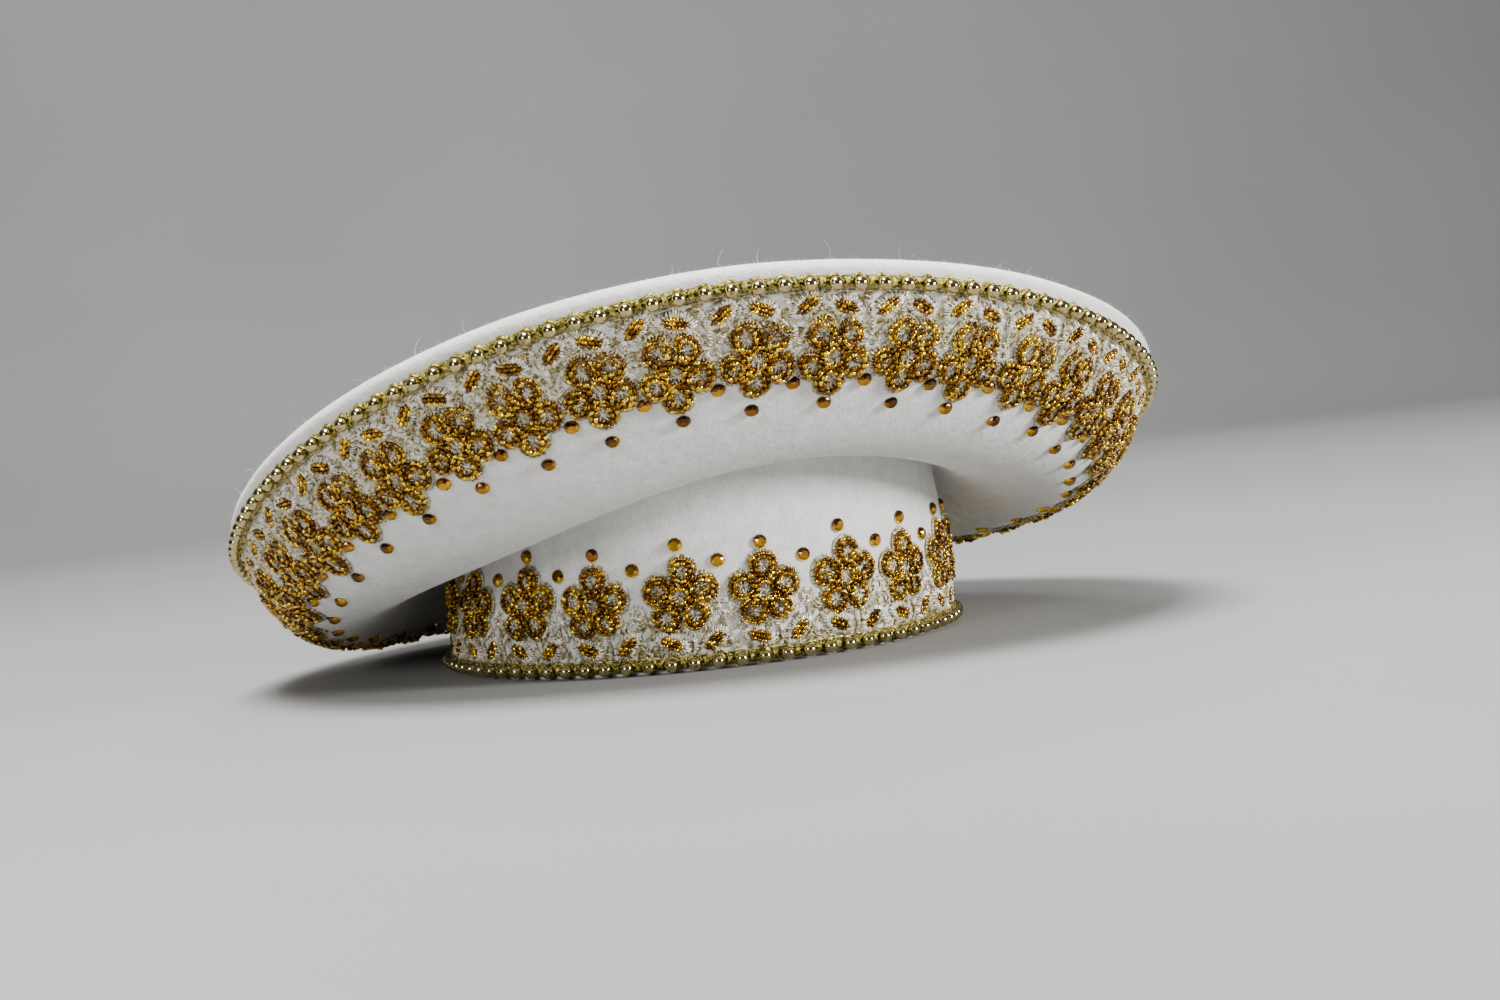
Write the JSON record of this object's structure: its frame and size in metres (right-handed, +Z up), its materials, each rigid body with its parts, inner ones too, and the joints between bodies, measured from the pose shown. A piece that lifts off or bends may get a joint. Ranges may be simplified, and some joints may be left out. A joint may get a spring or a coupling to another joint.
{
  "type": "halo hat",
  "caption": "White wool felt halo hat: a wide tilted bowl over an open head collar, with beaded gold lace, faceted stones and a row of beads along each edge.",
  "frame": {"origin": "on the surface that the hat rests on, under the middle of its outline seen from above", "axes": "+Z up, -Y the hat's front, where the halo's edge is highest; +X is on the right of someone who faces the front"},
  "size_m": [0.3265, 0.339, 0.1241],
  "materials": {
    "felt": "matt wool felt with a short nap",
    "lace_thread": "ivory net and silvery corded thread",
    "bugle_bead": "silver-lined amber glass",
    "bead": "metallised pale gold, mirror-like",
    "braid": "olive gold metallic thread",
    "stone": "faceted topaz, foiled at the back"
  },
  "bodies": {
    "root": {"felt_body": "felt", "collar_lace": "bugle_bead", "halo_lace": "bugle_bead", "collar_bead_trim": "bead", "halo_bead_trim": "bead", "collar_stone_low_01": "stone", "collar_stone_low_02": "stone", "collar_stone_low_03": "stone", "collar_stone_low_04": "stone", "collar_stone_low_05": "stone", "collar_stone_low_06": "stone", "collar_stone_low_07": "stone", "collar_stone_low_08": "stone", "collar_stone_low_09": "stone", "collar_stone_low_10": "stone", "collar_stone_low_11": "stone", "collar_stone_low_12": "stone", "collar_stone_low_13": "stone", "collar_stone_low_14": "stone", "collar_stone_low_15": "stone", "collar_stone_low_16": "stone", "collar_stone_low_17": "stone", "collar_stone_low_18": "stone", "collar_stone_low_19": "stone", "collar_stone_low_20": "stone", "collar_stone_high_01": "stone", "collar_stone_high_02": "stone", "collar_stone_high_03": "stone", "collar_stone_high_04": "stone", "collar_stone_high_05": "stone", "collar_stone_high_06": "stone", "collar_stone_high_07": "stone", "collar_stone_high_08": "stone", "collar_stone_high_09": "stone", "collar_stone_high_10": "stone", "collar_stone_high_11": "stone", "collar_stone_high_12": "stone", "collar_stone_high_13": "stone", "collar_stone_high_14": "stone", "collar_stone_high_15": "stone", "collar_stone_high_16": "stone", "collar_stone_high_17": "stone", "collar_stone_high_18": "stone", "collar_stone_high_19": "stone", "collar_stone_high_20": "stone"}
  },
  "joints": []
}
